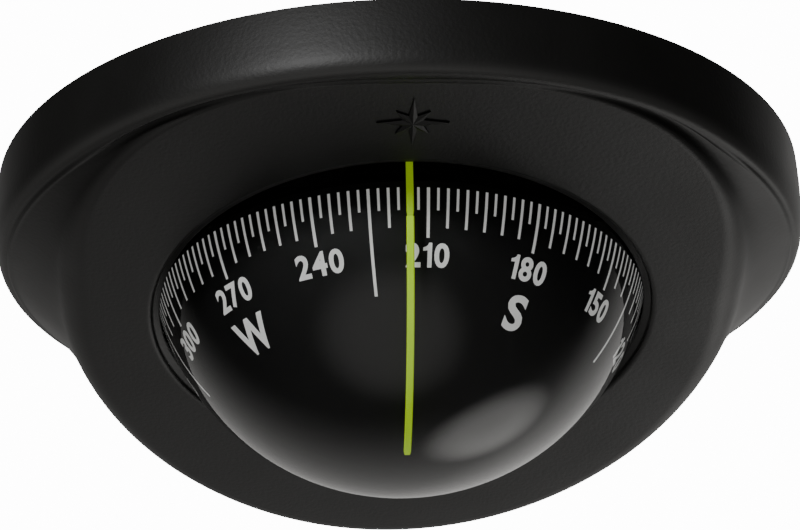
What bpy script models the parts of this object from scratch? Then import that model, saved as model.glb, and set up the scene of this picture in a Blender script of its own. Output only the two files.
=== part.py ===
"""Overhead flush-mount dome compass with a wedge-shaped binnacle cowl.

Frame: metres, +Z up, the helm (reader) at -Y.  The origin is the centre of the
mounting plane, z = 0 being the face of the overhead panel the compass hangs from.
The dome faces down and the cowl opening leans toward the reader.
All constants below are millimetres; the mesh builders scale them by MM.
"""
import math

import bmesh
import bpy
import numpy as np
from mathutils import Matrix

MM = 0.001
TAU = 2.0 * math.pi
GAP = 0.3                        # clearance left between touching pieces

# ---- sphere shared by dome, bowl, gimbal and card --------------------------------
CZ = -11.0                       # height of the common centre
DOME_RO, DOME_RI = 47.0, 44.0
BOWL_RO, BOWL_RI = 46.5, 44.0
CARD_RO, CARD_RI = 39.3, 38.4

# ---- flange, gasket and clamp ----------------------------------------------------
FLANGE_R = 72.5
FLANGE_TOP, FLANGE_BOT = -1.8, -5.6
GASKET_RI, GASKET_RO, GASKET_T = 60.0, 72.6, 1.5
MOUNT_R, MOUNT_N = 66.0, 4
CLAMP_R, CLAMP_N = 55.4, 4

# ---- cowl ------------------------------------------------------------------------
RIM_R, RIM_WIDE = 75.7, 75.9
OPEN_R = 46.5                    # opening radius in the leaning front plane
OPEN_Y, OPEN_W = -3.2, 26.7      # its centre: y, and depth below the panel
LEAN = math.radians(11.76)       # lean of the front plane toward the reader
EDGE_A = 61.4                    # half-width of the raised front
EDGE_FAR, EDGE_NEAR = 75.0, 69.6  # its half-lengths, away from and toward the reader
EDGE_V = 2.1                     # its middle, up the plane from the opening's centre
EDGE_SLIM = 0.010                # how much slimmer than an ellipse its far half is
EDGE_POWER = 2.6                 # how square its near half is
FLANK_FILL = 0.72                # 0: flank hollowed to a step, 1: straight flank
COWL_SEG = 60

# ---- compensator -----------------------------------------------------------------
POD_Z0, POD_Z1 = 22.9, 29.9
POD_X, POD_Y = 22.0, 16.0
GEAR_M, GEAR_T = 0.625, 16
GEAR_X, GEAR_Y = 11.0, 5.0       # rotor axes at (+-GEAR_X, +-GEAR_Y)
GEAR_Z0, GEAR_Z1 = 26.0, 28.0

for old in list(bpy.data.objects):
    bpy.data.objects.remove(old, do_unlink=True)


# ==================================================================================
# builders
# ==================================================================================
MATS = {}


def material(name, rgb, rough, metal=0.0, alpha=1.0):
    mat = bpy.data.materials.new(name)
    mat.use_nodes = True
    b = mat.node_tree.nodes["Principled BSDF"]
    b.inputs["Base Color"].default_value = (rgb[0], rgb[1], rgb[2], 1.0)
    b.inputs["Roughness"].default_value = rough
    b.inputs["Metallic"].default_value = metal
    b.inputs["Alpha"].default_value = alpha
    return mat


def join(*solids):
    """Several closed shells as one vertex and face list."""
    verts, faces = [], []
    for v, f in solids:
        n = len(verts)
        verts += list(v)
        faces += [tuple(i + n for i in q) for q in f]
    return verts, faces


def lathe(profile, seg, x=0.0, y=0.0):
    """Closed profile of (r, z) turned round a vertical axis; r = 0 gives a pole."""
    verts, rings = [], []
    for r, z in profile:
        if r < 1e-6:
            rings.append([len(verts)] * seg)
            verts.append((x, y, z))
        else:
            rings.append(list(range(len(verts), len(verts) + seg)))
            for k in range(seg):
                a = TAU * k / seg
                verts.append((x + r * math.cos(a), y + r * math.sin(a), z))
    faces, n = [], len(profile)
    for i in range(n):
        p, q = rings[i], rings[(i + 1) % n]
        if p[0] == p[1] and q[0] == q[1]:
            continue
        for k in range(seg):
            m = (k + 1) % seg
            quad = [p[k], p[m], q[m], q[k]]
            out = []
            for v in quad:
                if v not in out:
                    out.append(v)
            if len(out) > 2:
                faces.append(tuple(out))
    return verts, faces


def arc(radius, a0, a1, n, cz=CZ):
    """Points (r, z) on a circle about (0, cz); angles are degrees below the equator."""
    out = []
    for k in range(n + 1):
        a = math.radians(a0 + (a1 - a0) * k / n)
        r = radius * math.cos(a)
        out.append((0.0 if r < 1e-4 else r, cz - radius * math.sin(a)))
    return out


def drop(radius, z, cz=CZ):
    """Angle below the equator, in degrees, at which a sphere reaches height z."""
    return math.degrees(math.asin((cz - z) / radius))


def prism(outline, z0, z1):
    """Outline of (x, y) extruded between two heights."""
    n = len(outline)
    verts = [(x, y, z0) for x, y in outline] + [(x, y, z1) for x, y in outline]
    faces = [tuple(range(n))[::-1], tuple(range(n, 2 * n))]
    faces += [(k, (k + 1) % n, n + (k + 1) % n, n + k) for k in range(n)]
    return verts, faces


def box(x0, x1, y0, y1, z0, z1):
    return prism([(x0, y0), (x1, y0), (x1, y1), (x0, y1)], z0, z1)


def rounded(hx, hy, r, n=4):
    """Outline of a rounded rectangle centred on the origin."""
    out = []
    for cx, cy, a0 in ((hx - r, hy - r, 0), (r - hx, hy - r, 90),
                       (r - hx, r - hy, 180), (hx - r, r - hy, 270)):
        for k in range(n + 1):
            a = math.radians(a0 + 90.0 * k / n)
            out.append((cx + r * math.cos(a), cy + r * math.sin(a)))
    return out


def rod(r, z0, z1, seg=16, x=0.0, y=0.0):
    return lathe([(0, z0), (r, z0), (r, z1), (0, z1)], seg, x, y)


def screw(head_r, head_z0, head_z1, shank_r, tip_z, seg=9):
    """Pan-head screw with its driver recess; the shank leaves the head toward tip_z."""
    up = tip_z > head_z0
    face, seat = (min(head_z0, head_z1), max(head_z0, head_z1))
    if not up:
        face, seat = seat, face
    s = 1.0 if up else -1.0
    prof = [(0, face + s * 0.6), (0.42 * head_r, face + s * 0.5), (0.42 * head_r, face),
            (0.8 * head_r, face), (head_r, face + s * 0.35 * abs(seat - face)),
            (head_r, seat), (shank_r, seat), (shank_r, tip_z - s * shank_r), (0, tip_z)]
    return lathe(prof, seg)


def turned(solid, matrix):
    verts, faces = solid
    m = np.array(matrix)[:3, :3]
    t = np.array(matrix)[:3, 3]
    return [tuple(m @ np.array(v) + t) for v in verts], faces


def along(axis, at=(0.0, 0.0, 0.0)):
    """Matrix that lays a vertical solid along X or Y and moves it."""
    if axis == "X":
        rot = Matrix.Rotation(math.radians(90), 4, "Y")
    else:
        rot = Matrix.Rotation(math.radians(-90), 4, "X")
    return Matrix.Translation(at) @ rot


def finish_mesh(me, mat):
    me.materials.clear()
    me.materials.append(mat)
    for p in me.polygons:
        p.use_smooth = True
        p.material_index = 0
    me.set_sharp_from_angle(angle=math.radians(32))


def emit(name, solid, mat, origin=(0.0, 0.0, 0.0)):
    """Make one node from closed shells, faces turned outward, origin where it turns."""
    verts, faces = solid
    o = np.array(origin)
    me = bpy.data.meshes.new(name)
    me.from_pydata([tuple((np.array(v) - o) * MM) for v in verts], [], faces)
    bm = bmesh.new()
    bm.from_mesh(me)
    bmesh.ops.recalc_face_normals(bm, faces=bm.faces)
    bm.to_mesh(me)
    bm.free()
    finish_mesh(me, mat)
    ob = bpy.data.objects.new(name, me)
    ob.location = tuple(c * MM for c in origin)
    bpy.context.scene.collection.objects.link(ob)
    bpy.context.view_layer.update()
    return ob


def combine(ob, solid, operation="DIFFERENCE"):
    """Exact boolean of a node with closed solids, applied to its mesh."""
    mat = ob.data.materials[0]
    tool = emit("tool", solid, mat)
    tool.hide_render = True
    tool.display_type = "WIRE"
    mod = ob.modifiers.new("cut", "BOOLEAN")
    mod.operation = operation
    mod.solver = "EXACT"
    mod.object = tool
    bpy.context.view_layer.update()
    deps = bpy.context.evaluated_depsgraph_get()
    me = bpy.data.meshes.new_from_object(ob.evaluated_get(deps))
    ob.modifiers.clear()
    old, ob.data = ob.data, me
    bpy.data.meshes.remove(old)
    bpy.data.objects.remove(tool, do_unlink=True)
    me.name = ob.name
    finish_mesh(me, mat)
    return ob


def repeat(name, solid, mat, places):
    """The same piece at several places: objects that share one mesh."""
    first = emit(name + "_1", solid, mat)
    out = [first]
    for k in range(1, len(places)):
        ob = bpy.data.objects.new("%s_%d" % (name, k + 1), first.data)
        bpy.context.scene.collection.objects.link(ob)
        out.append(ob)
    for ob, (x, y, z) in zip(out, places):
        ob.location = (x * MM, y * MM, z * MM)
    bpy.context.view_layer.update()
    return out


def ring_of(count, radius, start=0.0):
    return [(radius * math.cos(start + TAU * k / count),
             radius * math.sin(start + TAU * k / count)) for k in range(count)]


# ==================================================================================
# materials
# ==================================================================================
BLACK_ABS = material("moulded black", (0.020, 0.020, 0.019), 0.62)
RUBBER = material("black rubber", (0.012, 0.012, 0.012), 0.85)
ACRYLIC = material("clear acrylic", (0.90, 0.93, 0.92), 0.04, alpha=0.3)
NYLON = material("grey nylon", (0.10, 0.10, 0.105), 0.5)
WHITE_NYLON = material("natural nylon", (0.55, 0.54, 0.50), 0.45)
BRASS = material("brass", (0.62, 0.45, 0.19), 0.32, 1.0)
ANODISED = material("black anodised", (0.015, 0.015, 0.016), 0.45, 0.6)
STEEL = material("stainless steel", (0.55, 0.55, 0.56), 0.3, 1.0)
MAGNET = material("sintered magnet", (0.16, 0.16, 0.17), 0.4, 0.8)
CARD = material("card black", (0.008, 0.008, 0.008), 0.55)
LIME = material("lime finger", (0.42, 0.62, 0.02), 0.4)
LIME_DARK = material("lime finger root", (0.28, 0.42, 0.015), 0.45)
FOAM = material("float foam", (0.60, 0.58, 0.50), 0.8)
RED = material("red lamp", (0.55, 0.03, 0.02), 0.25)


# ==================================================================================
# cowl: a closed loft from the level round rim to the leaning round opening
# ==================================================================================
def front_depth(y):
    return OPEN_W + math.tan(LEAN) * (y - OPEN_Y)


def in_front(u, v, lift=0.0):
    """Point of the leaning front plane: u across, v along it away from the reader."""
    y = OPEN_Y + v * math.cos(LEAN) + lift * math.sin(LEAN) * -1.0
    w = OPEN_W + v * math.sin(LEAN) + lift * math.cos(LEAN)
    return np.array([u, y, -w])


def bend(p, q, r, n):
    """n + 1 points of the curve from p to r that is pulled toward q."""
    t = np.linspace(0.0, 1.0, n + 1)[:, None]
    return (1 - t) ** 2 * p + 2 * t * (1 - t) * q + t ** 2 * r


def level(direction, r, z):
    return np.array([r * direction[0], r * direction[1], z])


def power_of(x):
    """Signed power that squares up the near half of the raised front."""
    return math.copysign(abs(x) ** (2.0 / EDGE_POWER), x)


def front_edge(a, inset=0.0, lift=0.0):
    """Fold round the raised front: an ellipse away from the reader, squarer toward it."""
    if math.sin(a) > 0:
        slim = 1.0 - EDGE_SLIM * math.sin(2 * a) ** 2
        across, along, half = slim * math.cos(a), slim * math.sin(a), EDGE_FAR
    else:
        across, along, half = power_of(math.cos(a)), power_of(math.sin(a)), EDGE_NEAR
    return in_front((EDGE_A - inset) * across, EDGE_V + (half - inset) * along, lift)


def cowl_section(a):
    """Points of one closed section at angle a, outside first, then back inside.

    Where the fold stands less than 7 mm below the rim the flank ends in a shallow
    valley; further down it becomes one hollow slope from the bead to the fold."""
    ca, sa = math.cos(a), math.sin(a)
    edge = front_edge(a)
    edge_in = front_edge(a, 2.6, -2.6)
    reach = math.hypot(edge[0], edge[1])
    d = edge[:2] / reach
    raised = min(1.0, max(0.0, (-edge[2] - 13.3) / 7.0))
    raised *= raised * (3.0 - 2.0 * raised)
    lip = in_front(OPEN_R * ca, OPEN_R * sa)
    valley = max(70.6, reach + 1.5)
    bead_z = -13.85 - 1.3 * raised
    bead = level(d, 73.7, bead_z)
    root_r, root_z = valley + (73.0 - valley) * raised, -13.0 - 2.7 * raised
    root = level(d, root_r, root_z)
    pts = [level(d, RIM_R, -0.3), level(d, RIM_WIDE, -6.0)]
    pts += list(bend(level(d, RIM_WIDE, -9.2), level(d, RIM_WIDE, bead_z), bead, 4))
    pts += list(bend(bead, level(d, 0.5 * (73.7 + root_r), bead_z - 0.1 - 0.5 * raised),
                     root, 2))[1:]
    corner = level(d, min(reach + 0.6, valley - 0.9), -13.1 - 2.4 * raised)
    rise = min(3.8, 0.45 * float(np.linalg.norm(edge - corner)))
    knee = corner + (0.5 * (root + edge) - corner) * FLANK_FILL * raised
    wall = edge + (knee - edge) / max(float(np.linalg.norm(knee - edge)), 1e-6) * rise
    toward = (lip - edge) / float(np.linalg.norm(lip - edge))
    pts += list(bend(root, knee, wall, 6))[1:]
    pts += list(bend(wall, edge, edge + toward * rise, 3))[1:]
    r1 = in_front((OPEN_R + 1.0) * ca, (OPEN_R + 1.0) * sa)
    r2 = in_front(OPEN_R * ca, OPEN_R * sa, -1.0)
    pts += list(bend(r1, lip, r2, 2))
    pts.append(in_front(OPEN_R * ca, OPEN_R * sa, -2.6))
    foot_in = level(d, 69.6, -10.2)
    under = level(d, min(reach - 1.6, 68.9), -10.4)
    knee_in = under + (0.5 * (edge_in + foot_in) - under) * FLANK_FILL * raised
    pts.append(edge_in)
    pts += list(bend(edge_in, knee_in, foot_in, 4))[1:]
    rim_in = [(71.8, -9.9), (73.0, -8.4), (73.0, -7.5),
              (72.2, -6.6), (73.0, -5.8), (73.0, -0.3)]
    pts += [level(d, r, z) for r, z in rim_in]
    return pts


def cowl_solid():
    rows = [cowl_section(TAU * k / COWL_SEG) for k in range(COWL_SEG)]
    n = len(rows[0])
    verts = [tuple(p) for row in rows for p in row]
    faces = []
    for k in range(COWL_SEG):
        m = (k + 1) % COWL_SEG
        for i in range(n):
            j = (i + 1) % n
            faces.append((k * n + i, m * n + i, m * n + j, k * n + j))
    return verts, faces


def star_prism():
    """Plain eight-point rose standing half a millimetre proud of the front."""
    out = []
    for k in range(16):
        r = (6.4, 2.0, 4.2, 2.0)[k % 4]
        out.append((r * math.sin(TAU * k / 16), r * math.cos(TAU * k / 16) - 57.4))
    n = len(out)
    verts = [tuple(in_front(u, v, -1.0)) for u, v in out]
    verts += [tuple(in_front(u, v, 0.55)) for u, v in out]
    faces = [tuple(range(n)), tuple(range(n, 2 * n))[::-1]]
    faces += [(k, (k + 1) % n, n + (k + 1) % n, n + k) for k in range(n)]
    return verts, faces


cowl = emit("cowl", cowl_solid(), BLACK_ABS)
combine(cowl, star_prism(), "UNION")


# ==================================================================================
# capsule: bowl, dome, seals, clamp and mounting hardware
# ==================================================================================
NECK_R, NECK_HOLE, NECK_Z = 24.0, 15.0, 9.5   # ring under the roof, for its screws
ROOF_Z, ROOF_IN = 18.0, 15.3      # flat back of the bowl, outside and inside
FILL_Y = 30.0


def bowl_node():
    prof = [(FLANGE_R, FLANGE_BOT), (FLANGE_R, FLANGE_TOP)]
    prof += arc(BOWL_RO, drop(BOWL_RO, FLANGE_TOP), drop(BOWL_RO, 14.0), 4)
    prof += [(38.2, 16.6), (36.4, ROOF_Z), (NECK_HOLE, ROOF_Z), (NECK_HOLE, NECK_Z),
             (NECK_R, NECK_Z), (NECK_R, ROOF_IN), (35.2, ROOF_IN)]
    prof += arc(BOWL_RI, drop(BOWL_RI, 13.4), drop(BOWL_RI, FLANGE_BOT), 4)
    ob = emit("bowl", lathe(prof, 36), BLACK_ABS)
    combine(ob, rod(5.4, 16.6, 22.0, 16, 0.0, FILL_Y), "UNION")
    cuts = [rod(2.1, -8, 0, 10, x, y) for x, y in ring_of(MOUNT_N, MOUNT_R, TAU / 8)]
    cuts += [rod(1.6, -8, 0, 10, x, y) for x, y in ring_of(CLAMP_N, CLAMP_R)]
    cuts += [rod(1.35, 10.5, 21, 10, x, y) for x, y in ring_of(4, 20.0)]
    cuts += [rod(2.6, 10, 24, 14, 0.0, FILL_Y)]
    combine(ob, join(*cuts))
    return ob


bowl_node()

gasket = emit("panel_gasket", lathe([(GASKET_RI, -GASKET_T), (GASKET_RO, -GASKET_T),
                                     (GASKET_RO, 0), (GASKET_RI, 0)], 40), RUBBER)
combine(gasket, join(*[rod(2.1, -3, 1, 10, x, y)
                       for x, y in ring_of(MOUNT_N, MOUNT_R, TAU / 8)]))

dome_profile = arc(DOME_RO, 0, 90, 9) + arc(DOME_RI, 90, 0, 9)
dome_profile += [(DOME_RI, -7.5), (52.5, -7.5), (52.5, -10.5), (DOME_RO, -10.5)]
emit("dome", lathe(dome_profile, 36), ACRYLIC)

seal = [(49.8 + 0.65 * math.cos(TAU * k / 6), -6.55 + 0.65 * math.sin(TAU * k / 6))
        for k in range(6)]
emit("dome_oring", lathe(seal, 36), RUBBER)

clamp = emit("clamp_ring", lathe([(47.6, -10.8), (47.6, -12.0), (47.9, -12.3),
                                  (57.6, -12.3), (58.0, -11.9), (58.0, -5.9),
                                  (52.9, -5.9), (52.9, -10.8)], 32), NYLON)
combine(clamp, join(*[rod(1.6, -11.4, -4, 10, x, y)
                      for x, y in ring_of(CLAMP_N, CLAMP_R)]))

repeat("clamp_screw", screw(2.4, -0.2, -1.5, 1.3, -10.9), STEEL,
       [(x, y, 0) for x, y in ring_of(CLAMP_N, CLAMP_R)])
repeat("mounting_screw", screw(3.3, -8.3, -5.9, 1.75, 6.5), STEEL,
       [(x, y, 0) for x, y in ring_of(MOUNT_N, MOUNT_R, TAU / 8)])

# ---- rear closure: diaphragm, retainer, filler -------------------------------------
wave = [(0, 18.6), (5.5, 18.6), (7.5, 20.4), (10.0, 20.4), (12.0, 18.3), (23.6, 18.3),
        (23.6, 19.8), (12.6, 19.8), (10.7, 21.6), (6.8, 21.6), (4.9, 19.8), (0, 19.8)]
diaphragm = emit("diaphragm", lathe(wave, 20), RUBBER)
combine(diaphragm, join(*[rod(1.5, 17, 21, 10, x, y) for x, y in ring_of(4, 20.0)]))

retainer = emit("diaphragm_retainer", lathe([(13.0, 20.1), (23.6, 20.1), (23.6, 22.6),
                                             (13.0, 22.6)], 20), NYLON)
combine(retainer, join(*[lathe([(0, 19), (1.35, 19), (1.35, 20.9), (2.4, 20.9),
                                (2.4, 24), (0, 24)], 12, x, y)
                         for x, y in ring_of(4, 20.0)]))
combine(retainer, join(*[rod(0.95, 21.0, 24, 10, x, y)
                         for x in (-17.0, 17.0) for y in (-11.5, 11.5)]))
repeat("retainer_screw", screw(2.1, 22.5, 21.2, 1.05, 11.0), STEEL,
       [(x, y, 0) for x, y in ring_of(4, 20.0)])

emit("filler_seal", lathe([(2.7, 22.3), (4.6, 22.3), (4.6, 23.3), (2.7, 23.3)], 16,
                          0.0, FILL_Y), RUBBER)
emit("filler_plug", lathe([(0, 14.5), (1.9, 14.5), (2.3, 15.2), (2.3, 23.6), (4.4, 23.6),
                           (4.4, 26.0), (3.9, 26.5), (2.0, 26.5), (1.6, 25.2),
                           (0, 25.2)], 16, 0.0, FILL_Y), BRASS)


# ==================================================================================
# compensator pod: two geared pairs of magnet rotors
# ==================================================================================
pod = emit("compensator_base", prism(rounded(POD_X, POD_Y, 4.0), POD_Z0, POD_Z1),
           BLACK_ABS)
combine(pod, prism(rounded(POD_X - 1.6, POD_Y - 1.6, 2.6), 24.5, 31.0))
POSTS = [(x, y) for x in (-17.0, 17.0) for y in (-11.5, 11.5)]
combine(pod, join(*[rod(2.3, 24.0, POD_Z1, 12, x, y) for x, y in POSTS]), "UNION")
combine(pod, join(*[rod(1.1, 21.0, 31.0, 10, x, y) for x, y in POSTS]))

cover = emit("compensator_cover", prism(rounded(POD_X, POD_Y, 4.0), 30.2, 32.0), BLACK_ABS)
combine(cover, join(*[rod(1.85, 29.0, 33.0, 16, sx * GEAR_X, sy * GEAR_Y)
                      for sx in (-1, 1) for sy in (-1, 1)]
                    + [rod(1.1, 29.0, 33.0, 10, x, y) for x, y in POSTS]))
repeat("cover_screw", screw(1.9, 33.5, 32.3, 0.8, 21.5), STEEL,
       [(x, y, 0) for x, y in POSTS])


def involute_outline(phase):
    """Sixteen-tooth stub gear outline, turned by phase, with a little backlash."""
    rp = 0.5 * GEAR_M * GEAR_T
    rb = rp * math.cos(math.radians(20))
    ro, rr = rp + 0.5, rp - 0.8
    half = math.pi / GEAR_T / 2 - 0.07 / rp
    inv = math.tan(math.radians(20)) - math.radians(20)
    flank = []
    for r in (rp - 0.12, rp + 0.2, ro):
        al = math.acos(min(1.0, rb / r))
        flank.append((r, half + inv - (math.tan(al) - al)))
    side = [(rr, flank[0][1] + 0.02)] + flank
    out = []
    for k in range(GEAR_T):
        mid = phase + TAU * k / GEAR_T
        out += [(r * math.cos(mid - h), r * math.sin(mid - h)) for r, h in side]
        out += [(r * math.cos(mid + h), r * math.sin(mid + h)) for r, h in side[::-1]]
    return out


def rotor(name, cx, cy, phase, top, slotted):
    """Stub gear with its spindle; the driver's spindle carries a slot."""
    gear = prism(involute_outline(phase), GEAR_Z0, GEAR_Z1)
    ob = emit(name, turned(gear, Matrix.Translation((cx, cy, 0))), WHITE_NYLON,
              (cx, cy, GEAR_Z0))
    combine(ob, rod(1.5, 27.0, top, 14, cx, cy), "UNION")
    if slotted:
        combine(ob, box(cx - 2, cx + 2, cy - 0.25, cy + 0.25, top - 0.7, top + 1))


def bar_magnet(name, cx, cy):
    emit(name, box(cx - 3.5, cx + 3.5, cy - 1.1, cy + 1.1, 24.8, 25.7), MAGNET,
         (cx, cy, 25.2))


HALF_TOOTH = math.pi / GEAR_T
for side, tag in ((-1, "ns"), (1, "ew")):
    rotor(tag + "_driver", side * GEAR_X, -GEAR_Y, math.pi / 2, 32.6, True)
    rotor(tag + "_follower", side * GEAR_X, GEAR_Y, -math.pi / 2 + HALF_TOOTH, 31.2, False)
    bar_magnet(tag + "_driver_magnet", side * GEAR_X, -GEAR_Y)
    bar_magnet(tag + "_follower_magnet", side * GEAR_X, GEAR_Y)


# ==================================================================================
# night lamp on the clamp ring, under the tall side of the cowl
# ==================================================================================
LAMP_Y0, LAMP_Y1 = 51.4, 57.4
emit("lamp_holder", box(-5.5, 5.5, LAMP_Y0, LAMP_Y1, -21.5, -12.6), NYLON)
led = lathe([(0, 0), (2.4, 0), (2.4, 0.5), (1.9, 0.9), (1.7, 1.6), (1.0, 2.2), (0, 2.4)], 16)
emit("lamp_led", turned(led, Matrix.Translation((0, LAMP_Y0 - GAP, -17.5))
                        @ Matrix.Rotation(math.radians(90), 4, "X")), RED)
repeat("lamp_terminal", box(-2.35, 2.35, -0.4, 0.4, -1.4, 1.4), BRASS,
       [(s * 8.15, 54.4, -17.3) for s in (-1, 1)])


# ==================================================================================
# gimbal: cradle and pins, roll ring, pitch carrier
# ==================================================================================
PIVOT = (0.0, 0.0, CZ)
cradle = emit("gimbal_cradle", lathe([(42.1, -13.0), (43.2, -13.0), (43.2, -7.2),
                                      (48.6, -7.2), (48.6, -5.9), (42.1, -5.9)], 44), NYLON)
combine(cradle, join(*[turned(rod(0.9, -1.5, 1.5, 8), along("Y", (0, s * 42.9, CZ)))
                       for s in (-1, 1)]))
repeat("roll_pin", turned(rod(0.6, -1.5, 1.5, 8), along("Y")), STEEL,
       [(0, s * 41.75, CZ) for s in (-1, 1)])

ring = emit("roll_ring", lathe([(39.8, CZ - 1.5), (41.5, CZ - 1.5), (41.5, CZ + 1.5),
                                (39.8, CZ + 1.5)], 44), ANODISED, PIVOT)
combine(ring, join(*[turned(rod(0.9, -1.6, 1.6, 8), along("Y", (0, s * 40.7, CZ)))
                     for s in (-1, 1)]
                   + [turned(rod(0.9, -1.6, 1.6, 8), along("X", (s * 40.7, 0, CZ)))
                      for s in (-1, 1)]))
repeat("pitch_pin", turned(rod(0.6, -2.0, 2.0, 8), along("X")), STEEL,
       [(s * 39.3, 0, CZ) for s in (-1, 1)])

carrier = emit("pitch_carrier", box(-39.3, 39.3, -2.6, 2.6, CZ - 1.5, CZ + 1.5), NYLON,
               PIVOT)
combine(carrier, rod(8.0, CZ - 1.5, CZ + 1.5, 28), "UNION")
combine(carrier, join(*[turned(rod(0.9, -4.0, 4.0, 8), along("X", (s * 40.0, 0, CZ)))
                        for s in (-1, 1)] + [rod(1.3, -14, -8, 14)]))
emit("counterweight", lathe([(1.3, -15.6), (6.4, -15.6), (7.2, -14.9), (7.2, -12.8),
                             (1.3, -12.8)], 28), BRASS, PIVOT)
emit("pivot_needle", lathe([(0, -8.6), (2.4, -8.6), (2.4, -9.2), (1.0, -9.2), (1.0, -23.0),
                            (0.2, -25.8), (0, -25.8)], 16), STEEL, PIVOT)


# ==================================================================================
# card: spherical dish, web, jewel cup, float ring and magnets
# ==================================================================================
RIM_DROP = 8.0
SPINDLE = (0.0, 0.0, -26.0)
dish = arc(CARD_RO, RIM_DROP, 90, 8) + arc(CARD_RI, 90, RIM_DROP, 8)
emit("card_dish", lathe(dish, 36), CARD, SPINDLE)
web = emit("card_web", lathe([(3.3, -31.4), (5.6, -31.4), (6.2, -30.2), (32.6, -30.2),
                              (33.2, -29.0), (6.2, -29.0), (5.6, -26.4), (3.3, -26.4)], 32),
           WHITE_NYLON, SPINDLE)
combine(web, join(*[rod(2.6, -32, -27, 10, x, y) for x, y in ring_of(6, 27.0, TAU / 12)]))
emit("jewel_cup", lathe([(0, -31.2), (3.0, -31.2), (3.0, -24.6), (2.4, -24.0), (1.9, -24.0),
                         (0.5, -26.1), (0, -26.1)], 20), BRASS, SPINDLE)
emit("card_float", lathe([(9.0, -28.6), (33.0, -28.6), (35.4, -24.2), (36.6, -20.0),
                          (36.0, -19.0), (9.0, -19.0)], 32), FOAM, SPINDLE)
repeat("card_magnet", box(-2.2, 2.2, -17.0, 17.0, -1.8, 1.8), MAGNET,
       [(s * 11.0, 0, -32.4) for s in (-1, 1)])


# ==================================================================================
# lubber finger: a strip along the dome's inside on the reader's side
# ==================================================================================
def finger(a0, a1, n, half0, half1, r_in, r_out):
    """Strip between two radii from angle a0 to a1 (degrees below the equator)."""
    verts, faces = [], []
    for k in range(n + 1):
        t = k / n
        a = math.radians(a0 + (a1 - a0) * t)
        h = half0 + (half1 - half0) * t
        for r, x in ((r_in, -h), (r_out, -h), (r_out, h), (r_in, h)):
            verts.append((x, -r * math.cos(a), CZ - r * math.sin(a)))
    for k in range(n):
        for i in range(4):
            j = (i + 1) % 4
            faces.append((4 * k + i, 4 * k + 4 + i, 4 * k + 4 + j, 4 * k + j))
    faces += [(0, 1, 2, 3), (4 * n + 3, 4 * n + 2, 4 * n + 1, 4 * n)]
    return verts, faces


emit("lubber_root", finger(3.2, 17.4, 4, 0.66, 0.70, 42.5, 43.3), LIME_DARK)
emit("lubber_line", finger(17.9, 80.5, 12, 0.72, 0.68, 42.3, 43.3), LIME)
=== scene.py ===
"""Visual model of the overhead dome compass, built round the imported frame.

Lengths in the tables below are millimetres; MM turns them into metres.
Frame: +Z up into the panel, dome toward -Z, reader at -Y.
"""
import math

import bmesh
import bpy
import numpy as np
from mathutils import Matrix, Vector


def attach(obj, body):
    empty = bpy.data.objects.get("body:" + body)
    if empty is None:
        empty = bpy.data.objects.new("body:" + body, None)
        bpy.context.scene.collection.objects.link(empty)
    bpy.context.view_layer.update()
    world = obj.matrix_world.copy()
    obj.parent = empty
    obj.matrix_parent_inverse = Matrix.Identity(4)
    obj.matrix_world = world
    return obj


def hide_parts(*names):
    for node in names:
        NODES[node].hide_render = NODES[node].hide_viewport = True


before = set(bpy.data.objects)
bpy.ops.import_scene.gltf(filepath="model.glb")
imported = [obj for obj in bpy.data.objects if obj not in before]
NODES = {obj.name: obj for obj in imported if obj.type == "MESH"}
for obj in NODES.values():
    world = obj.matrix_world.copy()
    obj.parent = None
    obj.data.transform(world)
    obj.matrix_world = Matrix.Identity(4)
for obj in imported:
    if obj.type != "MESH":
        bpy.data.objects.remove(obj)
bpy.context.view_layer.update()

MM = 0.001
TAU = 2.0 * math.pi

# ---- shared sizes, as in the CAD ---------------------------------------------------
CENTRE = np.array([0.0, 0.0, -11.0])      # common centre of dome, bowl, gimbal, card
DOME_R = 47.0
CARD_R, CARD_INNER = 39.3, 38.4
RIM_WIDE = 75.9
OPEN_R, OPEN_Y, OPEN_W = 46.5, -3.2, 26.7
LEAN = math.radians(11.76)
EDGE_A, EDGE_FAR, EDGE_NEAR, EDGE_V, EDGE_SLIM = 61.4, 75.0, 69.6, 2.1, 0.010
BEAD_ROW, FOLD_ROW = 9, 42                # rows of the cowl's section painted lighter, a painted highlight
EDGE_POWER = 2.6                          # how square the near half of that edge is
HEADING_AT_READER = 214.8                 # degrees the card shows at -Y
WALL = 2.6                                # cowl wall thickness
PRINT_UP, PRINT_DOWN = 0.07, -0.05        # print's top and underside from the card
ROSE_V = -57.4                            # middle of the rose, along the front plane


# ==================================================================================
# meshes
# ==================================================================================
def solid(name, verts, faces, material, smooth_angle=35.0):
    """Mesh object at the origin from millimetre points and face tuples."""
    me = bpy.data.meshes.new(name)
    me.from_pydata((np.asarray(verts, float) * MM).tolist(), [], faces)
    bm = bmesh.new()
    bm.from_mesh(me)
    bmesh.ops.recalc_face_normals(bm, faces=bm.faces)
    bm.to_mesh(me)
    bm.free()
    me.shade_smooth()
    me.set_sharp_from_angle(angle=math.radians(smooth_angle))
    me.materials.append(material)
    ob = bpy.data.objects.new(name, me)
    bpy.context.scene.collection.objects.link(ob)
    return ob


def loop_faces(rows, cols, close_rows=True, close_cols=True, start=0):
    """Quads of a grid of rows x cols points, wrapped either way where it closes."""
    i = np.arange(rows if close_rows else rows - 1)
    j = np.arange(cols if close_cols else cols - 1)
    i, j = np.meshgrid(i, j, indexing="ij")
    i2, j2 = (i + 1) % rows, (j + 1) % cols
    quads = np.stack([i * cols + j, i2 * cols + j, i2 * cols + j2, i * cols + j2], -1)
    return (quads.reshape(-1, 4) + start).tolist()


def ride(ob, body, slot_name, *nodes):
    """Fix a piece to a body and hide the nodes it stands for; the slot name is not used."""
    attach(ob, body)
    if nodes:
        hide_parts(*nodes)
    return ob


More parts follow.
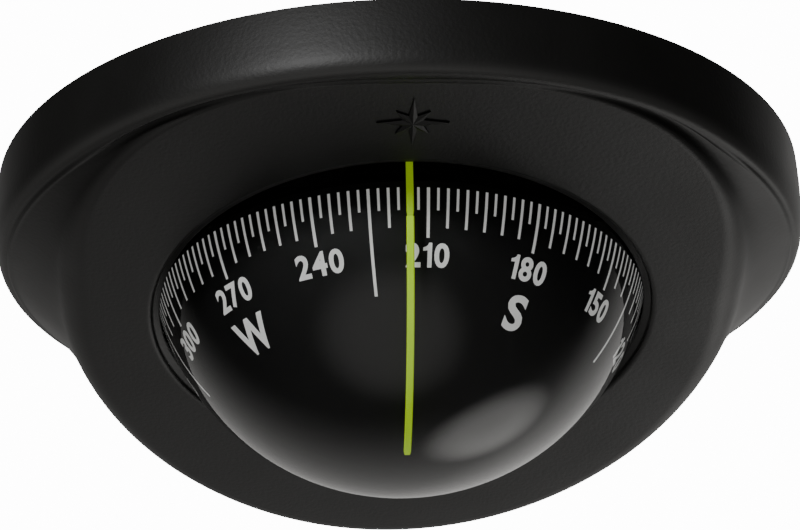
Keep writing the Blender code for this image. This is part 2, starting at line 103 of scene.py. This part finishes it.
def bend(p, q, r, n):
    """Quadratic curve from p to r pulled toward q: the weights are (1-t)^2, 2t(1-t), t^2."""
    t = np.linspace(0.0, 1.0, n + 1)
    return [(1 - s) ** 2 * p + 2 * s * (1 - s) * q + s ** 2 * r for s in t]


def in_front(u, v, lift=0.0):
    """Points of the leaning front plane: u across, v up the plane, lift out of it."""
    y = OPEN_Y + v * math.cos(LEAN) - lift * math.sin(LEAN)
    w = OPEN_W + v * math.sin(LEAN) + lift * math.cos(LEAN)
    return np.stack([u + 0 * y, y, -w], -1)


# ==================================================================================
# materials
# ==================================================================================
def tree_of(mat):
    """Node tree and main shader of a new material."""
    mat.use_nodes = True
    nt = mat.node_tree
    return nt, nt.nodes["Principled BSDF"]


def moulded(name, base, rough, grain=900.0, bump=0.06, mottle=0.18, metallic=0.0,
            specular=0.5, painted_highlight=0.0, coat=0.0, stretch=(1, 1, 1), rough_spread=0.08,
            glow=0.0, glow_colour=None):
    """Opaque finish: fine grain in the bump, cloudy colour and roughness from noise.
    Edges the mesh marks in its highlight attribute get a lighter colour: a painted highlight."""
    mat = bpy.data.materials.new(name)
    nt, b = tree_of(mat)
    link = nt.links.new
    coord = nt.nodes.new("ShaderNodeTexCoord")
    place = nt.nodes.new("ShaderNodeMapping")
    place.inputs["Scale"].default_value = stretch
    link(coord.outputs["Object"], place.inputs["Vector"])
    cloud = nt.nodes.new("ShaderNodeTexNoise")
    cloud.inputs["Scale"].default_value = 45.0
    cloud.inputs["Detail"].default_value = 5.0
    link(place.outputs["Vector"], cloud.inputs["Vector"])
    grit = nt.nodes.new("ShaderNodeTexNoise")
    grit.inputs["Scale"].default_value = grain
    grit.inputs["Detail"].default_value = 3.0
    link(place.outputs["Vector"], grit.inputs["Vector"])
    ramp = nt.nodes.new("ShaderNodeValToRGB")
    low = [c * (1 - mottle) for c in base]
    high = [min(1.0, c * (1 + mottle)) for c in base]
    ramp.color_ramp.elements[0].position = 0.3
    ramp.color_ramp.elements[1].position = 0.7
    ramp.color_ramp.elements[0].color = (*low, 1)
    ramp.color_ramp.elements[1].color = (*high, 1)
    link(cloud.outputs["Fac"], ramp.inputs["Fac"])
    colour = ramp.outputs["Color"]
    # painted highlight: the marked edges take a colour about three times the base
    if painted_highlight:
        edge = nt.nodes.new("ShaderNodeAttribute")
        edge.attribute_name = "painted_edge_highlight"
        amount = nt.nodes.new("ShaderNodeMath")
        amount.operation = "MULTIPLY"
        amount.inputs[1].default_value = painted_highlight
        link(edge.outputs["Fac"], amount.inputs[0])
        mix = nt.nodes.new("ShaderNodeMix")
        mix.data_type = "RGBA"
        mix.inputs["B"].default_value = (*[min(1.0, c * 3.0 + 0.02) for c in base], 1)
        link(amount.outputs[0], mix.inputs["Factor"])
        link(colour, mix.inputs["A"])
        colour = mix.outputs["Result"]
    link(colour, b.inputs["Base Color"])
    spread = nt.nodes.new("ShaderNodeMapRange")
    spread.inputs["To Min"].default_value = rough - rough_spread
    spread.inputs["To Max"].default_value = rough + rough_spread
    link(cloud.outputs["Fac"], spread.inputs["Value"])
    link(spread.outputs["Result"], b.inputs["Roughness"])
    relief = nt.nodes.new("ShaderNodeBump")
    relief.inputs["Strength"].default_value = bump
    relief.inputs["Distance"].default_value = 0.0004
    link(grit.outputs["Fac"], relief.inputs["Height"])
    link(relief.outputs["Normal"], b.inputs["Normal"])
    b.inputs["Metallic"].default_value = metallic
    b.inputs["Specular IOR Level"].default_value = specular
    if glow:
        b.inputs["Emission Color"].default_value = (*(glow_colour or base), 1)
        b.inputs["Emission Strength"].default_value = glow
    if coat:
        b.inputs["Coat Weight"].default_value = coat
        b.inputs["Coat Roughness"].default_value = 0.12
    return mat


def clear_dome():
    """Clear acrylic full of oil: one refracting body that lets lamps through."""
    mat = bpy.data.materials.new("clear dome and oil")
    nt, b = tree_of(mat)
    link = nt.links.new
    b.inputs["Base Color"].default_value = (0.985, 0.99, 0.985, 1)
    b.inputs["Transmission Weight"].default_value = 1.0
    b.inputs["IOR"].default_value = 1.44
    coord = nt.nodes.new("ShaderNodeTexCoord")
    haze = nt.nodes.new("ShaderNodeTexNoise")
    haze.inputs["Scale"].default_value = 60.0
    link(coord.outputs["Object"], haze.inputs["Vector"])
    rough = nt.nodes.new("ShaderNodeMapRange")
    rough.inputs["To Min"].default_value = 0.0
    rough.inputs["To Max"].default_value = 0.035
    link(haze.outputs["Fac"], rough.inputs["Value"])
    link(rough.outputs["Result"], b.inputs["Roughness"])
    out = nt.nodes["Material Output"]
    path = nt.nodes.new("ShaderNodeLightPath")
    through = nt.nodes.new("ShaderNodeBsdfTransparent")
    through.inputs["Color"].default_value = (0.94, 0.96, 0.95, 1)
    mix = nt.nodes.new("ShaderNodeMixShader")
    link(path.outputs["Is Shadow Ray"], mix.inputs["Fac"])
    link(b.outputs["BSDF"], mix.inputs[1])
    link(through.outputs["BSDF"], mix.inputs[2])
    link(mix.outputs["Shader"], out.inputs["Surface"])
    return mat


COWL = moulded("cowl moulding", (0.0125, 0.0122, 0.0115), 0.47, 1400, 0.10, 0.12,
               specular=0.45, painted_highlight=0.8)
SATIN = moulded("satin black moulding", (0.012, 0.012, 0.012), 0.42, 1100, 0.06)
RUBBER = moulded("seal rubber", (0.012, 0.012, 0.012), 0.82, 1800, 0.2, 0.3)
NYLON = moulded("dark nylon", (0.03, 0.03, 0.032), 0.5, 1000, 0.07)
IVORY = moulded("natural nylon", (0.62, 0.60, 0.53), 0.42, 900, 0.05, 0.05)
BRASS = moulded("turned brass", (0.68, 0.47, 0.17), 0.26, 1500, 0.05, 0.1, 1.0,
                stretch=(1, 1, 6))
STEEL = moulded("screw steel", (0.52, 0.52, 0.53), 0.28, 1500, 0.05, 0.1, 1.0)
MAGNET = moulded("sintered magnet", (0.10, 0.10, 0.11), 0.45, 2200, 0.15, 0.2, 0.8)
ANODISED = moulded("black anodised ring", (0.010, 0.010, 0.011), 0.5, 1500, 0.04, 0.15)
CARD_BLACK = moulded("card black", (0.0035, 0.0036, 0.0036), 0.6, 1300, 0.05, 0.25,
                     specular=0.25)
# the glow on the prints stands in for light scattered inside the dome
CARD_WHITE = moulded("card white print", (0.55, 0.55, 0.54), 0.55, 1800, 0.08, 0.06,
                     specular=0.3, glow=0.30, glow_colour=(1.0, 1.0, 0.98))
# the lime is the finger's own colour; its glow is painted light standing in for lamp light on
# the lubber finger, weaker on the darker root
LIME = moulded("lime with painted glow", (0.36, 0.62, 0.006), 0.38, 900, 0.05, 0.08,
               glow=0.36, glow_colour=(0.62, 1.0, 0.0))
LIME_ROOT = moulded("lime root with painted glow", (0.30, 0.52, 0.008), 0.45, 900, 0.05, 0.12,
                    glow=0.26, glow_colour=(0.62, 1.0, 0.0))
FOAM = moulded("float foam", (0.62, 0.59, 0.50), 0.8, 2600, 0.3, 0.1)
RED = moulded("red lamp lens", (0.50, 0.02, 0.012), 0.18, 700, 0.03, 0.1, coat=0.5)
CLEAR = clear_dome()


# ==================================================================================
# cowl
# ==================================================================================
def cowl_shell(turns=300):
    """Closed loft.  At each angle the section runs down the rim wall and over the bead,
    up a hollow flank to the soft fold round the raised front, across the leaning plane
    to the opening, round its lip, and back along the inside 2.6 mm under the outside.
    The fold is an ellipse away from the reader and a power curve toward the reader,
    |u/A|^n + |v/L|^n = 1; a flank lower than 7 mm ends in a shallow valley instead."""
    a = TAU * np.arange(turns) / turns
    ca, sa = np.cos(a), np.sin(a)
    slim = 1.0 - EDGE_SLIM * np.sin(2 * a) ** 2
    power = 2.0 / EDGE_POWER
    square_u = np.sign(ca) * np.abs(ca) ** power
    square_v = np.sign(sa) * np.abs(sa) ** power
    far = sa > 0
    across = np.where(far, slim * ca, square_u)
    along = np.where(far, slim * sa, square_v)
    half = np.where(far, EDGE_FAR, EDGE_NEAR)

    def edge_line(inset, lift):
        return in_front((EDGE_A - inset) * across, EDGE_V + (half - inset) * along, lift)

    edge, edge_in = edge_line(0.0, 0.0), edge_line(WALL, -WALL)
    reach = np.hypot(edge[:, 0], edge[:, 1])
    d = edge[:, :2] / reach[:, None]
    raised = np.clip((-edge[:, 2] - 13.3) / 7.0, 0.0, 1.0)
    raised = raised * raised * (3 - 2 * raised)

    def level(r, z):
        r = np.broadcast_to(r, reach.shape)
        z = np.broadcast_to(z, reach.shape)
        return np.stack([r * d[:, 0], r * d[:, 1], z], -1)

    def soft(p, q, r, n):
        return bend(p, q, r, n)[1:]

    valley = np.maximum(70.6, reach + 1.5)
    rows = [level(75.7, -0.3), level(75.8, -2.0), level(RIM_WIDE, -5.0), level(RIM_WIDE, -8.0)]
    bead_z = -13.85 - 1.3 * raised
    bead = level(73.7, bead_z)
    rows += soft(level(RIM_WIDE, -9.2), level(RIM_WIDE, bead_z), bead, 9)
    root = level(valley + (73.0 - valley) * raised, -13.0 - 2.7 * raised)
    rows += soft(bead, level(0.5 * (73.7 + root_r(root)), bead_z - 0.1 - 0.5 * raised), root, 5)
    corner = level(np.minimum(reach + 0.6, valley - 0.9), -13.1 - 2.4 * raised)
    run = np.linalg.norm(edge - corner, axis=1)
    straight = 0.5 * (root + edge)
    knee = corner + (straight - corner) * (0.72 * raised)[:, None]
    down = knee - edge
    down /= np.maximum(np.linalg.norm(down, axis=1), 1e-6)[:, None]
    rise = np.minimum(3.8, 0.45 * run)[:, None]
    wall = edge + down * rise
    lip = in_front(OPEN_R * ca, OPEN_R * sa)
    toward = lip - edge
    toward /= np.linalg.norm(toward, axis=1)[:, None]
    rows += soft(root, knee, wall, 20)
    last = edge + toward * rise
    rows += soft(wall, edge, last, 10)
    start = in_front((OPEN_R + 1.1) * ca, (OPEN_R + 1.1) * sa)
    rows += [last + (start - last) * s for s in (0.33, 0.66)]
    rows += bend(start, lip, in_front(OPEN_R * ca, OPEN_R * sa, -0.7), 7)
    rows += [in_front(r * ca, r * sa, lift)
             for r, lift in ((46.2, -0.95), (45.3, -1.0), (45.05, -1.2), (45.4, -2.6))]
    rows.append(edge_in)
    under = level(np.minimum(reach - 1.6, 68.9), -10.4)
    knee_in = under + (0.5 * (edge_in + level(69.6, -10.2)) - under) * (0.72 * raised)[:, None]
    rows += soft(edge_in, knee_in, level(69.6, -10.2), 12)
    for r, z in ((71.8, -9.9), (73.0, -8.4), (73.0, -7.5), (72.2, -6.6), (73.0, -5.8),
                 (73.0, -0.3)):
        rows.append(level(r, z))
    pts = np.stack(rows, 0)
    k = np.arange(len(rows))[:, None]
    # painted highlight weight: strongest at the bead row, half as strong at the fold row
    painted_highlight = np.exp(-((k - BEAD_ROW) / 2.0) ** 2) + 0.5 * np.exp(-((k - FOLD_ROW) / 4.0) ** 2)
    painted_highlight = np.broadcast_to(painted_highlight, pts.shape[:2]).ravel()
    return pts.reshape(-1, 3), loop_faces(len(rows), turns), painted_highlight


def root_r(points):
    """Distance of each point from the vertical axis."""
    return np.hypot(points[:, 0], points[:, 1])


verts, faces, painted_edge_highlight = cowl_shell()
shell = ride(solid("cowl_shell", verts, faces, COWL, 50), "housing", "cowl", "cowl")
# the marked rows carry the painted highlight into the cowl material
shell.data.attributes.new("painted_edge_highlight", "FLOAT", "POINT").data.foreach_set("value", painted_edge_highlight)


def raised_rose():
    """Eight-point star on the front plane: outline radius by point, ridge lines rising to
    the middle, skirt sunk into the cowl."""
    k = np.arange(16)
    r = np.array([6.4, 2.0, 4.2, 2.0])[k % 4]
    u, v = r * np.sin(TAU * k / 16), r * np.cos(TAU * k / 16) + ROSE_V
    low = in_front(u, v, -0.4)
    top = in_front(u * 0.97, (v - ROSE_V) * 0.97 + ROSE_V, 0.32)
    mid = in_front(np.array([0.0]), np.array([ROSE_V]), 0.75)
    pts = np.concatenate([low, top, mid])
    side = [(i, (i + 1) % 16, 16 + (i + 1) % 16, 16 + i) for i in range(16)]
    cap = [(16 + i, 16 + (i + 1) % 16, 32) for i in range(16)]
    return pts, side + cap + [tuple(range(16))]


verts, faces = raised_rose()
ride(solid("cowl_rose", verts, faces, COWL, 10), "housing", "cowl")


# ==================================================================================
# dome and the oil behind it, as one clear body
# ==================================================================================
def turned_shell(profile, turns):
    """Closed profile of (r, z) carried round the vertical: x = r cos a, y = r sin a.
    Rows with r = 0 become one shared pole point."""
    a = TAU * np.arange(turns) / turns
    verts, faces, ids = [], [], []
    for r, z in profile:
        if r < 1e-6:
            ids.append(np.full(turns, len(verts)))
            verts.append((0.0, 0.0, z))
        else:
            ids.append(len(verts) + np.arange(turns))
            verts += np.stack([r * np.cos(a), r * np.sin(a), np.full(turns, z)],
                              -1).tolist()
    for i in range(len(profile)):
        p, q = ids[i], ids[(i + 1) % len(profile)]
        if p[0] == p[1] and q[0] == q[1]:
            continue
        quads = np.stack([p, np.roll(p, -1), np.roll(q, -1), q], -1)
        for f in quads.tolist():
            faces.append(tuple(dict.fromkeys(f)))
    return verts, faces


def sphere_arc(radius, a0, a1, n):
    """(r, z) along a circle about the common centre, degrees below its equator."""
    a = np.radians(np.linspace(a0, a1, n + 1))
    r = radius * np.cos(a)
    r[np.abs(r) < 1e-4] = 0.0
    return list(zip(r.tolist(), (CENTRE[2] - radius * np.sin(a)).tolist()))


body = sphere_arc(DOME_R, 0.0, 90.0, 60)
body += [(0.0, -7.7), (44.0, -7.7), (52.5, -7.7), (52.5, -10.3), (47.2, -10.4)]
verts, faces = turned_shell(body, 192)
ride(solid("dome_and_oil", verts, faces, CLEAR, 40), "housing", "dome", "dome")


# ==================================================================================
# card: dish, degree marks, numerals and letters
# ==================================================================================
dish = sphere_arc(CARD_R, 8.4, 90.0, 48)
dish += sphere_arc(CARD_INNER, 90.0, 8.4, 40)
verts, faces = turned_shell(dish, 192)
ride(solid("card_bowl", verts, faces, CARD_BLACK), "card", "card_dish", "card_dish")


def on_card(heading, below, lift=0.0):
    """Point on the card's sphere at a heading and an angle below the equator."""
    a = np.radians(heading - HEADING_AT_READER)
    b = np.radians(below)
    r = CARD_R + lift
    return np.stack([-r * np.cos(b) * np.sin(a), -r * np.cos(b) * np.cos(a),
                     CENTRE[2] - r * np.sin(b)], -1)


def mark_strip(heading, top, bottom, width, steps=7):
    """One printed bar: a closed strip following the sphere from top to bottom angle."""
    b = np.linspace(top, bottom, steps)
    half = np.degrees(0.5 * width / (CARD_R * np.cos(np.radians(b))))
    rim = [on_card(heading - half, b, PRINT_UP), on_card(heading + half, b, PRINT_UP),
           on_card(heading + half, b, PRINT_DOWN), on_card(heading - half, b, PRINT_DOWN)]
    return np.stack(rim, 1).reshape(-1, 3), steps


def degree_marks():
    """A bar each 2.5 degrees: short, longer each 5, longest each 30, and a long line
    between the letters each 90 from 45."""
    verts, faces, n = [], [], 0
    for k in range(144):
        h = 2.5 * k
        if h % 90 == 45:
            bottom, width = 36.4, 0.50
        elif h % 30 == 0:
            bottom, width = 22.4, 0.52
        elif h % 5 == 0:
            bottom, width = 19.9, 0.46
        else:
            bottom, width = 15.6, 0.42
        pts, steps = mark_strip(h, 10.0, bottom, width, 13 if bottom > 30 else 6)
        verts.append(pts)
        faces += loop_faces(steps, 4, close_rows=False, start=n)
        faces += [(n, n + 1, n + 2, n + 3), tuple(n + 4 * steps - q for q in (1, 2, 3, 4))]
        n += 4 * steps
    return np.concatenate(verts), faces


verts, faces = degree_marks()
ride(solid("card_degree_marks", verts, faces, CARD_WHITE), "card", "card_dish")


def glyph(letter, weight):
    """Flat bmesh of one character one unit tall with its left foot at the origin, and
    its width; a 1 is drawn as a stem with a slanting flag."""
    if letter == "1":
        outline = [(0.19, 0.0), (0.38, 0.0), (0.38, 1.0), (0.25, 1.0), (0.20, 0.90),
                   (0.12, 0.84), (0.0, 0.80), (0.0, 0.67), (0.19, 0.69)]
        flat = bmesh.new()
        flat.faces.new([flat.verts.new((x, y, 0)) for x, y in outline])
        return flat, 0.38
    curve = bpy.data.curves.new("glyphs", "FONT")
    curve.body = letter
    curve.size = 1.0
    curve.offset = weight
    curve.resolution_u = 5
    holder = bpy.data.objects.new("glyphs", curve)
    bpy.context.scene.collection.objects.link(holder)
    bpy.context.view_layer.update()
    me = bpy.data.meshes.new_from_object(holder.evaluated_get(
        bpy.context.evaluated_depsgraph_get()))
    bpy.data.objects.remove(holder, do_unlink=True)
    bpy.data.curves.remove(curve)
    flat = bmesh.new()
    flat.from_mesh(me)
    bpy.data.meshes.remove(me)
    bmesh.ops.remove_doubles(flat, verts=flat.verts, dist=1e-5)
    co = np.array([v.co[:2] for v in flat.verts])
    low, high = co.min(0), co.max(0)
    tall = high[1] - low[1]
    for v in flat.verts:
        v.co = Vector(((v.co[0] - low[0]) / tall, (v.co[1] - low[1]) / tall, 0))
    return flat, float((high[0] - low[0]) / tall)


def wrapped_text(name, words, height, below, weight):
    """Characters laid side by side, cut on a 0.6 mm net, wrapped on the card's sphere
    about their headings and given 0.12 mm of thickness."""
    verts, faces, n = [], [], 0
    for heading, word, squeeze in words:
        made = [glyph(letter, weight) for letter in word]
        gap = 0.10
        total = sum(w * squeeze for _, w in made) + gap * (len(word) - 1)
        left = -0.5 * total
        for flat, wide in made:
            for v in flat.verts:
                v.co = Vector(((left + v.co[0] * squeeze) * height,
                               (v.co[1] - 0.5) * height, 0))
            left += wide * squeeze + gap
            for axis in (0, 1):
                for cut in np.arange(-6.0, 6.0, 0.6):
                    spot, normal = [0, 0, 0], [0, 0, 0]
                    spot[axis], normal[axis] = float(cut), 1.0
                    bmesh.ops.bisect_plane(
                        flat, geom=flat.verts[:] + flat.edges[:] + flat.faces[:],
                        plane_co=spot, plane_no=normal, dist=1e-6)
            flat.verts.index_update()
            uv = np.array([v.co[:2] for v in flat.verts])
            b = below - np.degrees(uv[:, 1] / CARD_R)
            h = heading - np.degrees(uv[:, 0] / (CARD_R * math.cos(math.radians(below))))
            m = len(uv)
            verts += [on_card(h, b, PRINT_UP), on_card(h, b, PRINT_DOWN)]
            for f in flat.faces:
                q = [v.index for v in f.verts]
                faces.append(tuple(n + i for i in q))
                faces.append(tuple(n + m + i for i in q[::-1]))
            for e in flat.edges:
                if len(e.link_faces) == 1:
                    i, j = e.verts[0].index, e.verts[1].index
                    faces.append((n + i, n + j, n + m + j, n + m + i))
            n += 2 * m
            flat.free()
    return solid(name, np.concatenate(verts), faces, CARD_WHITE, 40)


numerals = [(h, str(h) if h else "0", 0.93) for h in range(0, 360, 30)]
ride(wrapped_text("card_numerals", numerals, 4.15, 26.6, 0.030), "card", "card_dish")
letters = [(0, "N", 0.92), (90, "E", 0.95), (180, "S", 1.02), (270, "W", 0.80)]
ride(wrapped_text("card_letters", letters, 6.3, 37.6, 0.030), "card", "card_dish")


# ==================================================================================
# lubber finger
# ==================================================================================
def finger_strip(a0, a1, steps, w0, w1, r_in, r_out):
    """Rounded bar along the dome's inside: an eight-point section, corners cut by a
    quarter of its depth, carried from angle a0 to a1, its end drawn in to a blunt tip."""
    t = np.linspace(0, 1, steps)
    a = np.radians(a0 + (a1 - a0) * t)
    w = w0 + (w1 - w0) * t
    w[-1] *= 0.8
    c = 0.25 * (r_out - r_in)
    section = [(-1, r_in + c), (-1, r_out - c), (-0.75, r_out), (0.75, r_out),
               (1, r_out - c), (1, r_in + c), (0.75, r_in), (-0.75, r_in)]
    rings = []
    for s, r in section:
        out = r * np.cos(a)
        rings.append(np.stack([s * w, -out, CENTRE[2] - r * np.sin(a)], -1))
    pts = np.stack(rings, 1).reshape(-1, 3)
    n = len(section)
    faces = loop_faces(steps, n, close_rows=False)
    faces += [tuple(range(n)), tuple(n * steps - 1 - k for k in range(n))]
    return pts, faces


verts, faces = finger_strip(3.2, 17.62, 14, 0.60, 0.64, 42.5, 43.3)
ride(solid("lubber_root_bar", verts, faces, LIME_ROOT), "housing", "lubber_root", "lubber_root")
verts, faces = finger_strip(17.68, 80.5, 60, 0.66, 0.62, 42.3, 43.3)
ride(solid("lubber_bar", verts, faces, LIME), "housing", "lubber_line", "lubber_line")


# ==================================================================================
# finishes for the carried-over nodes
# ==================================================================================
FINISH = {
    "bowl": SATIN, "panel_gasket": RUBBER, "dome_oring": RUBBER, "clamp_ring": SATIN,
    "clamp_screw": STEEL, "mounting_screw": STEEL, "retainer_screw": STEEL,
    "cover_screw": STEEL, "diaphragm": RUBBER, "diaphragm_retainer": NYLON,
    "filler_seal": RUBBER, "filler_plug": BRASS, "compensator_base": SATIN,
    "compensator_cover": SATIN, "ns_driver": IVORY, "ns_follower": IVORY,
    "ew_driver": IVORY, "ew_follower": IVORY, "magnet": MAGNET, "lamp_holder": NYLON,
    "lamp_led": RED, "lamp_terminal": BRASS, "gimbal_cradle": ANODISED,
    "roll_pin": STEEL, "pitch_pin": STEEL, "roll_ring": ANODISED,
    "pitch_carrier": ANODISED, "counterweight": ANODISED, "pivot_needle": STEEL,
    "card_web": IVORY, "jewel_cup": BRASS, "card_float": FOAM,
}
for name, ob in NODES.items():
    stem = name.rstrip("0123456789").rstrip("_")
    key = "magnet" if stem.endswith("magnet") else stem
    finish = FINISH.get(key)
    if finish is None:
        continue
    if not ob.material_slots:
        ob.data.materials.append(finish)
    for s in ob.material_slots:
        s.material = finish


# ==================================================================================
# stage, light and camera
# ==================================================================================
def plain(name, colour, glow=0.0):
    """Matt stage finish, lit from within where the glow is set."""
    mat = bpy.data.materials.new(name)
    nt, b = tree_of(mat)
    b.inputs["Base Color"].default_value = (*colour, 1)
    b.inputs["Roughness"].default_value = 0.9
    b.inputs["Specular IOR Level"].default_value = 0.1
    if glow:
        b.inputs["Emission Color"].default_value = (1, 1, 1, 1)
        b.inputs["Emission Strength"].default_value = glow
    return mat


def card_sheet(name, centre, normal, width, height, mat):
    """Flat rectangle about a centre, facing along normal, in metres."""
    n = Vector(normal).normalized()
    side = n.cross(Vector((0, 0, 1)))
    side = side.normalized() if side.length > 1e-6 else Vector((1, 0, 0))
    up = side.cross(n)
    c = Vector(centre)
    pts = [c + side * sx * width / 2 + up * sy * height / 2
           for sx, sy in ((-1, -1), (1, -1), (1, 1), (-1, 1))]
    me = bpy.data.meshes.new(name)
    me.from_pydata([tuple(p) for p in pts], [], [(0, 1, 2, 3)])
    me.materials.append(mat)
    ob = bpy.data.objects.new(name, me)
    bpy.context.scene.collection.objects.link(ob)
    return ob


FLOOR_Z = -0.75
floor = card_sheet("floor", (0, 0, FLOOR_Z), (0, 0, 1), 8.0, 8.0,
                   plain("pale floor", (0.80, 0.80, 0.79), 2.5))
floor.visible_diffuse = floor.visible_glossy = floor.visible_transmission = False


def white_surround(radius=5.0, turns=48, rows=24):
    """Sphere about the object seen only by the camera: x, y, z = radius times
    (cos b cos a, cos b sin a, sin b), poles shared."""
    verts, faces = turned_shell([(radius / MM * math.cos(b), radius / MM * math.sin(b))
                                 for b in np.linspace(-math.pi / 2, math.pi / 2, rows)], turns)
    ob = solid("white_surround", verts, faces, plain("white surround", (1, 1, 1), 14.0))
    ob.visible_diffuse = ob.visible_glossy = ob.visible_transmission = False
    ob.visible_shadow = ob.visible_volume_scatter = False


white_surround()


def studio_world():
    """Dim surround with soft lamps by direction: each adds its strength times a smooth
    step of the cosine between its outer and inner cone."""
    world = bpy.data.worlds.new("studio")
    bpy.context.scene.world = world
    world.use_nodes = True
    nt = world.node_tree
    coord = nt.nodes.new("ShaderNodeTexCoord")
    total = None
    for toward, inner, outer, strength in GLOWS:
        dot = nt.nodes.new("ShaderNodeVectorMath")
        dot.operation = "DOT_PRODUCT"
        dot.inputs[1].default_value = Vector(toward).normalized()
        nt.links.new(coord.outputs["Generated"], dot.inputs[0])
        step = nt.nodes.new("ShaderNodeMapRange")
        step.interpolation_type = "SMOOTHSTEP"
        step.inputs["From Min"].default_value = outer
        step.inputs["From Max"].default_value = inner
        step.inputs["To Max"].default_value = strength
        nt.links.new(dot.outputs["Value"], step.inputs["Value"])
        if total is None:
            total = step.outputs["Result"]
        else:
            add = nt.nodes.new("ShaderNodeMath")
            nt.links.new(total, add.inputs[0])
            nt.links.new(step.outputs["Result"], add.inputs[1])
            total = add.outputs[0]
    nt.links.new(total, nt.nodes["Background"].inputs["Strength"])
    nt.nodes["Background"].inputs["Color"].default_value = (1.0, 0.985, 0.96, 1)


# direction, cosine of the full-strength cone, cosine where it ends, strength
GLOWS = (
    ((0.10, 0.98, -0.10), 0.97, 0.35, 0.55),
    ((0.60, 0.80, 0.05), 0.97, 0.78, 0.30),
    ((0.44, 0.56, -0.70), 0.995, 0.93, 1.80),
    ((-0.10, -0.42, -0.88), 0.985, 0.80, 0.55),
    ((0.0, -0.30, -1.0), 0.90, 0.10, 0.06),
    ((0.0, 0.0, 1.0), -1.5, -2.0, 0.008),
)
studio_world()


def area(name, where, at, size_x, size_y, power):
    """Rectangular lamp at one point, aimed at another."""
    lamp = bpy.data.lights.new(name, "AREA")
    lamp.shape = "RECTANGLE"
    lamp.size, lamp.size_y = size_x, size_y
    lamp.energy = power
    ob = bpy.data.objects.new(name, lamp)
    bpy.context.scene.collection.objects.link(ob)
    ob.location = where
    ob.rotation_euler = (Vector(at) - Vector(where)).to_track_quat("-Z", "Y").to_euler()


area("front_high", (-0.34, -0.74, 0.17), (0, -0.07, -0.008), 0.14, 0.10, 3.4)

ELEVATION, AZIMUTH = math.radians(25.07), math.radians(-2.8)
DISTANCE, FOCAL_MM, ROLL = 0.55, 130.9, -0.0281
ahead = Vector((-math.sin(AZIMUTH), math.cos(AZIMUTH), 0.0))
side_axis = Vector((math.cos(AZIMUTH), math.sin(AZIMUTH), 0.0))
out = -math.cos(ELEVATION) * ahead - math.sin(ELEVATION) * Vector((0, 0, 1))
up_axis = out.cross(side_axis)
right = math.cos(ROLL) * side_axis + math.sin(ROLL) * up_axis
upward = -math.sin(ROLL) * side_axis + math.cos(ROLL) * up_axis
eye = Vector((0.00002, 0.0, -0.01415)) + out * DISTANCE
cam_data = bpy.data.cameras.new("camera")
cam_data.sensor_width = 36.0
cam_data.lens = FOCAL_MM
cam_data.clip_start = 0.01
camera = bpy.data.objects.new("camera", cam_data)
bpy.context.scene.collection.objects.link(camera)
turn = Matrix((right, upward, out)).transposed().to_4x4()
camera.matrix_world = Matrix.Translation(eye) @ turn
bpy.context.scene.camera = camera
